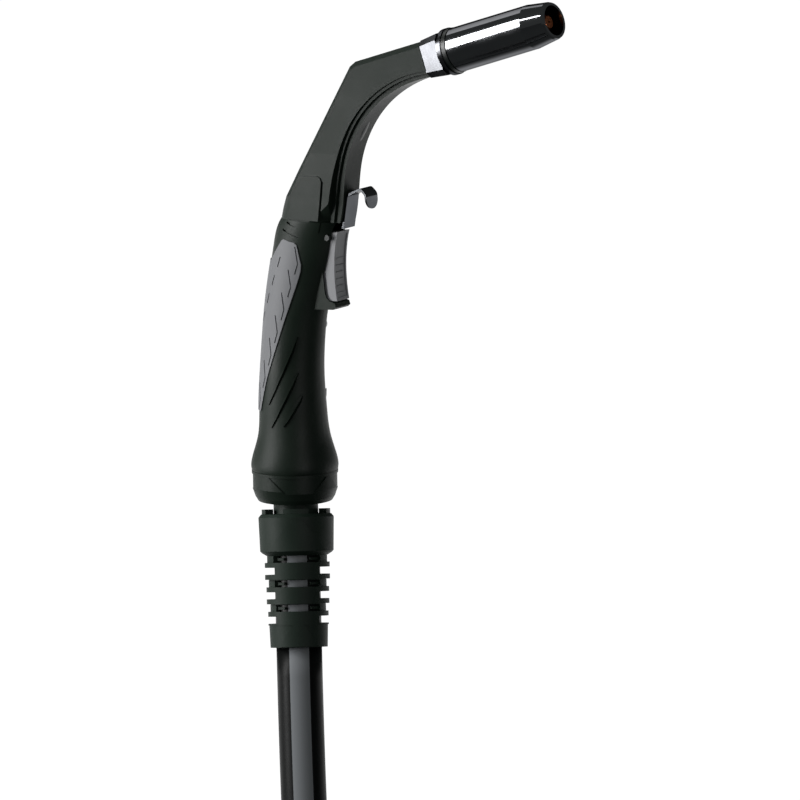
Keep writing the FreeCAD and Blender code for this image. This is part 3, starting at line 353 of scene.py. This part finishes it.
def handled_group():
    tree, inlet, outlet = group(
        "handled",
        [("Colour", COLOUR, (0.02, 0.02, 0.02, 1)), ("Rubbed", COLOUR, (0.05, 0.05, 0.05, 1)),
         ("Amount", NUMBER, 0.3), ("Patch Scale", NUMBER, 28.0)],
        [("Colour", COLOUR), ("Patch", NUMBER)])
    place = node(tree, "ShaderNodeTexCoord")
    patch = node(tree, "ShaderNodeTexNoise")
    patch.inputs["Detail"].default_value = 5.0
    patch.inputs["Roughness"].default_value = 0.55
    tree.links.new(place.outputs["Object"], patch.inputs["Vector"])
    tree.links.new(inlet.outputs["Patch Scale"], patch.inputs["Scale"])
    spread = node(tree, "ShaderNodeMapRange")
    spread.inputs["From Min"].default_value = 0.38
    spread.inputs["From Max"].default_value = 0.68
    tree.links.new(patch.outputs["Fac"], spread.inputs["Value"])
    weight = node(tree, "ShaderNodeMath", operation="MULTIPLY")
    tree.links.new(spread.outputs["Result"], weight.inputs[0])
    tree.links.new(inlet.outputs["Amount"], weight.inputs[1])
    blend = node(tree, "ShaderNodeMix", data_type="RGBA")
    tree.links.new(weight.outputs["Value"], blend.inputs["Factor"])
    tree.links.new(inlet.outputs["Colour"], blend.inputs[6])
    tree.links.new(inlet.outputs["Rubbed"], blend.inputs[7])
    tree.links.new(blend.outputs[2], outlet.inputs["Colour"])
    tree.links.new(spread.outputs["Result"], outlet.inputs["Patch"])
    return tree


def turned_lines_group():
    """Fine lines square to the nozzle's axis, for metal that was turned on a lathe."""
    tree, inlet, outlet = group("turned_lines", [("Line Scale", NUMBER, 900.0)], [("Line", NUMBER)])
    place = node(tree, "ShaderNodeTexCoord")
    turn = node(tree, "ShaderNodeVectorRotate", rotation_type="Y_AXIS")
    turn.inputs["Angle"].default_value = NOZZLE_TILT
    squeeze = node(tree, "ShaderNodeMapping")
    squeeze.inputs["Scale"].default_value = (1.0, 0.02, 0.02)
    lines = node(tree, "ShaderNodeTexNoise")
    lines.inputs["Detail"].default_value = 2.0
    tree.links.new(place.outputs["Object"], turn.inputs["Vector"])
    tree.links.new(turn.outputs["Vector"], squeeze.inputs["Vector"])
    tree.links.new(squeeze.outputs["Vector"], lines.inputs["Vector"])
    tree.links.new(inlet.outputs["Line Scale"], lines.inputs["Scale"])
    tree.links.new(lines.outputs["Fac"], outlet.inputs["Line"])
    return tree


MOULDED_GRAIN = moulded_grain_group()
HANDLED = handled_group()
TURNED_LINES = turned_lines_group()
print("groups", [tree.name for tree in (MOULDED_GRAIN, HANDLED, TURNED_LINES)])

# %% [markdown]
# Each finish takes the groups with its own values. Dark mouldings are a
# charcoal with a little green in it, the pads and the trigger are mid grey.

# %% Plastics and rubbers
def use_group(tree, kind, **values):
    made = node(tree, "ShaderNodeGroup")
    made.node_tree = kind
    for label, value in values.items():
        made.inputs[label.replace("_", " ")].default_value = value
    return made


def moulding(name, colour, rubbed, amount, rough, rough_spread, grain, depth, shine=0.5):
    """A moulded plastic or rubber: a base colour with rubbed patches, and a fine grain."""
    material, tree, shader = new_material(name)
    worn = use_group(tree, HANDLED, Colour=tone(colour), Rubbed=tone(rubbed), Amount=amount)
    fine = use_group(tree, MOULDED_GRAIN, Grain_Scale=grain)
    gloss = node(tree, "ShaderNodeMapRange")
    gloss.inputs["To Min"].default_value = rough - rough_spread
    gloss.inputs["To Max"].default_value = rough + rough_spread
    bump = node(tree, "ShaderNodeBump")
    bump.inputs["Strength"].default_value = depth
    bump.inputs["Distance"].default_value = 0.0002
    tree.links.new(worn.outputs["Colour"], shader.inputs["Base Color"])
    tree.links.new(worn.outputs["Patch"], gloss.inputs["Value"])
    tree.links.new(gloss.outputs["Result"], shader.inputs["Roughness"])
    tree.links.new(fine.outputs["Height"], bump.inputs["Height"])
    tree.links.new(bump.outputs["Normal"], shader.inputs["Normal"])
    shader.inputs["Specular IOR Level"].default_value = shine
    return material


body_plastic = moulding("body_plastic", "131d16", "1c271f", 0.35, 0.46, 0.06, 2600.0, 0.35, 0.24)
boot_rubber = moulding("boot_rubber", "1b261f", "243029", 0.4, 0.55, 0.06, 2200.0, 0.4, 0.2)
grip_rubber = moulding("grip_rubber", "717275", "808184", 0.5, 0.62, 0.05, 3000.0, 0.3)
trigger_plastic = moulding("trigger_plastic", "7c7d80", "8b8c8f", 0.5, 0.42, 0.05, 2600.0, 0.2)
insulator_plastic = moulding("insulator_plastic", "121614", "1d2220", 0.4, 0.36, 0.05, 2600.0, 0.2)
plug_plastic = moulding("plug_plastic", "1d2120", "2b2f2d", 0.4, 0.42, 0.06, 2400.0, 0.35)
seal_rubber = moulding("seal_rubber", "0d0e0e", "191a1a", 0.3, 0.6, 0.05, 2400.0, 0.2)
print("mouldings made")

# %% Metals
def metal(name, colour, rough, rough_spread, lines, depth, dull=None, rim=1.0):
    """A bare or plated metal: smudges change its gloss, and fine lathe lines catch the light."""
    material, tree, shader = new_material(name)
    shader.inputs["Metallic"].default_value = 1.0
    shader.inputs["Specular Tint"].default_value = (rim, rim, rim, 1.0)
    worn = use_group(tree, HANDLED, Colour=tone(colour), Rubbed=tone(dull or colour),
                     Amount=0.6, Patch_Scale=45.0)
    fine = use_group(tree, TURNED_LINES, Line_Scale=lines)
    gloss = node(tree, "ShaderNodeMapRange")
    gloss.inputs["To Min"].default_value = rough - rough_spread
    gloss.inputs["To Max"].default_value = rough + rough_spread
    bump = node(tree, "ShaderNodeBump")
    bump.inputs["Strength"].default_value = depth
    bump.inputs["Distance"].default_value = 0.0001
    tree.links.new(worn.outputs["Colour"], shader.inputs["Base Color"])
    tree.links.new(worn.outputs["Patch"], gloss.inputs["Value"])
    tree.links.new(gloss.outputs["Result"], shader.inputs["Roughness"])
    tree.links.new(fine.outputs["Line"], bump.inputs["Height"])
    tree.links.new(bump.outputs["Normal"], shader.inputs["Normal"])
    return material


nozzle_chrome = metal("nozzle_chrome", "97989b", 0.08, 0.03, 900.0, 0.05, "8b8c90", 0.3)
collar_nickel = metal("collar_nickel", "66676a", 0.22, 0.05, 1200.0, 0.1, "5a5b5e", 0.4)
spring_steel = metal("spring_steel", "66686b", 0.2, 0.05, 1200.0, 0.1, "595b5e", 0.4)
tip_copper = metal("tip_copper", "c4734a", 0.28, 0.08, 1200.0, 0.1, "8f4a2c")
plug_brass = metal("plug_brass", "b8954f", 0.3, 0.08, 1200.0, 0.1, "967534")
switch_steel = metal("switch_steel", "9fa0a2", 0.35, 0.05, 1200.0, 0.1)
print("metals made")

# %% [markdown]
# The cable's jacket is smooth black rubber with one broad grey stripe along it.
# The stripe follows the jacket's own map, so it keeps its side along every turn.

# %% Cable rubber
STRIPE_HALF = 25.8 / 360
STRIPE_EDGE = 0.002


def striped_jacket():
    material, tree, shader = new_material("cable_rubber")
    lay = node(tree, "ShaderNodeUVMap", uv_map="around")
    split = node(tree, "ShaderNodeSeparateXYZ")
    offset = node(tree, "ShaderNodeMath", operation="SUBTRACT")
    offset.inputs[1].default_value = 0.5
    away = node(tree, "ShaderNodeMath", operation="ABSOLUTE")
    edge = node(tree, "ShaderNodeMapRange")
    edge.inputs["From Min"].default_value = STRIPE_HALF - STRIPE_EDGE
    edge.inputs["From Max"].default_value = STRIPE_HALF + STRIPE_EDGE
    edge.inputs["To Min"].default_value = 1.0
    edge.inputs["To Max"].default_value = 0.0
    worn = use_group(tree, HANDLED, Colour=tone("090a0a"), Rubbed=tone("121414"), Amount=0.4)
    printed = node(tree, "ShaderNodeMix", data_type="RGBA")
    printed.inputs[7].default_value = tone("7d8083")
    gloss = node(tree, "ShaderNodeMapRange")
    gloss.inputs["To Min"].default_value = 0.34
    gloss.inputs["To Max"].default_value = 0.44
    shader.inputs["Specular IOR Level"].default_value = 0.1
    tree.links.new(lay.outputs["UV"], split.inputs["Vector"])
    tree.links.new(split.outputs["X"], offset.inputs[0])
    tree.links.new(offset.outputs["Value"], away.inputs[0])
    tree.links.new(away.outputs["Value"], edge.inputs["Value"])
    tree.links.new(edge.outputs["Result"], printed.inputs["Factor"])
    tree.links.new(worn.outputs["Colour"], printed.inputs[6])
    tree.links.new(printed.outputs[2], shader.inputs["Base Color"])
    tree.links.new(worn.outputs["Patch"], gloss.inputs["Value"])
    tree.links.new(gloss.outputs["Result"], shader.inputs["Roughness"])
    return material


def striped_sheath():
    """The same stripe on the sheath inside the support's windows, measured from the cable's middle plane."""
    material, tree, shader = new_material("sheath_rubber")
    place = node(tree, "ShaderNodeTexCoord")
    from_axis = node(tree, "ShaderNodeVectorMath", operation="SUBTRACT")
    from_axis.inputs[1].default_value = at(*BALL)
    tree.links.new(place.outputs["Object"], from_axis.inputs[0])
    measured = []
    for direction in (CABLE_DOWN.cross(FRONT).normalized(), FRONT):
        reach = node(tree, "ShaderNodeVectorMath", operation="DOT_PRODUCT")
        reach.inputs[1].default_value = direction
        tree.links.new(from_axis.outputs["Vector"], reach.inputs[0])
        measured.append(reach)
    away = node(tree, "ShaderNodeMath", operation="ABSOLUTE")
    within = node(tree, "ShaderNodeMath", operation="LESS_THAN")
    within.inputs[1].default_value = CABLE_R * MM * math.sin(2 * math.pi * STRIPE_HALF)
    facing = node(tree, "ShaderNodeMath", operation="GREATER_THAN")
    facing.inputs[1].default_value = 0.0
    both = node(tree, "ShaderNodeMath", operation="MULTIPLY")
    printed = node(tree, "ShaderNodeMix", data_type="RGBA")
    printed.inputs[6].default_value = tone("121414")
    printed.inputs[7].default_value = tone("7d8083")
    tree.links.new(measured[0].outputs["Value"], away.inputs[0])
    tree.links.new(away.outputs["Value"], within.inputs[0])
    tree.links.new(measured[1].outputs["Value"], facing.inputs[0])
    tree.links.new(within.outputs["Value"], both.inputs[0])
    tree.links.new(facing.outputs["Value"], both.inputs[1])
    tree.links.new(both.outputs["Value"], printed.inputs["Factor"])
    tree.links.new(printed.outputs[2], shader.inputs["Base Color"])
    shader.inputs["Roughness"].default_value = 0.4
    shader.inputs["Specular IOR Level"].default_value = 0.18
    return material


cable_rubber = striped_jacket()
sheath_rubber = striped_sheath()
cable_jacket.data.materials.append(cable_rubber)
plain_rubber = moulding("plain_rubber", "151717", "202222", 0.4, 0.4, 0.05, 2400.0, 0.15)

# %% Dress the frame's own pieces
def dress(material, *names):
    for name in names:
        for place in nodes[name].material_slots:
            place.link = "OBJECT"
            place.material = material


dress(body_plastic, "handle_shell_left", "handle_shell_right", "neck_cover", "neck_front_strip",
      "badge_panel_left", "badge_panel_right", "rear_ring")
dress(boot_rubber, "cable_boot", "knuckle_ball", "knuckle_seat")
dress(grip_rubber, "grip_insert_left", "grip_insert_right")
dress(trigger_plastic, "trigger")
dress(insulator_plastic, "trigger_pin", "nozzle_insulator", "neck_insulation", "wire_liner",
      "microswitch", "switch_plunger", "plug_insulator")
dress(nozzle_chrome, "nozzle")
dress(collar_nickel, "neck_collar")
dress(spring_steel, "hanging_hook")
dress(tip_copper, "contact_tip", "neck_tube", "power_core", "plug_core")
dress(plug_brass, "gas_diffuser", "plug_brass_block", "plug_contact_a", "plug_contact_b")
dress(switch_steel, "handle_screws")
dress(sheath_rubber, "cable_sheath_end")
dress(plain_rubber, "plug_strain_relief")
dress(plug_plastic, "plug_shell_left", "plug_shell_right", "plug_nut")
dress(seal_rubber, "plug_seal")
undressed = [name for name, piece in nodes.items() if any(s.link != "OBJECT" for s in piece.material_slots)]
print("left plain:", undressed)
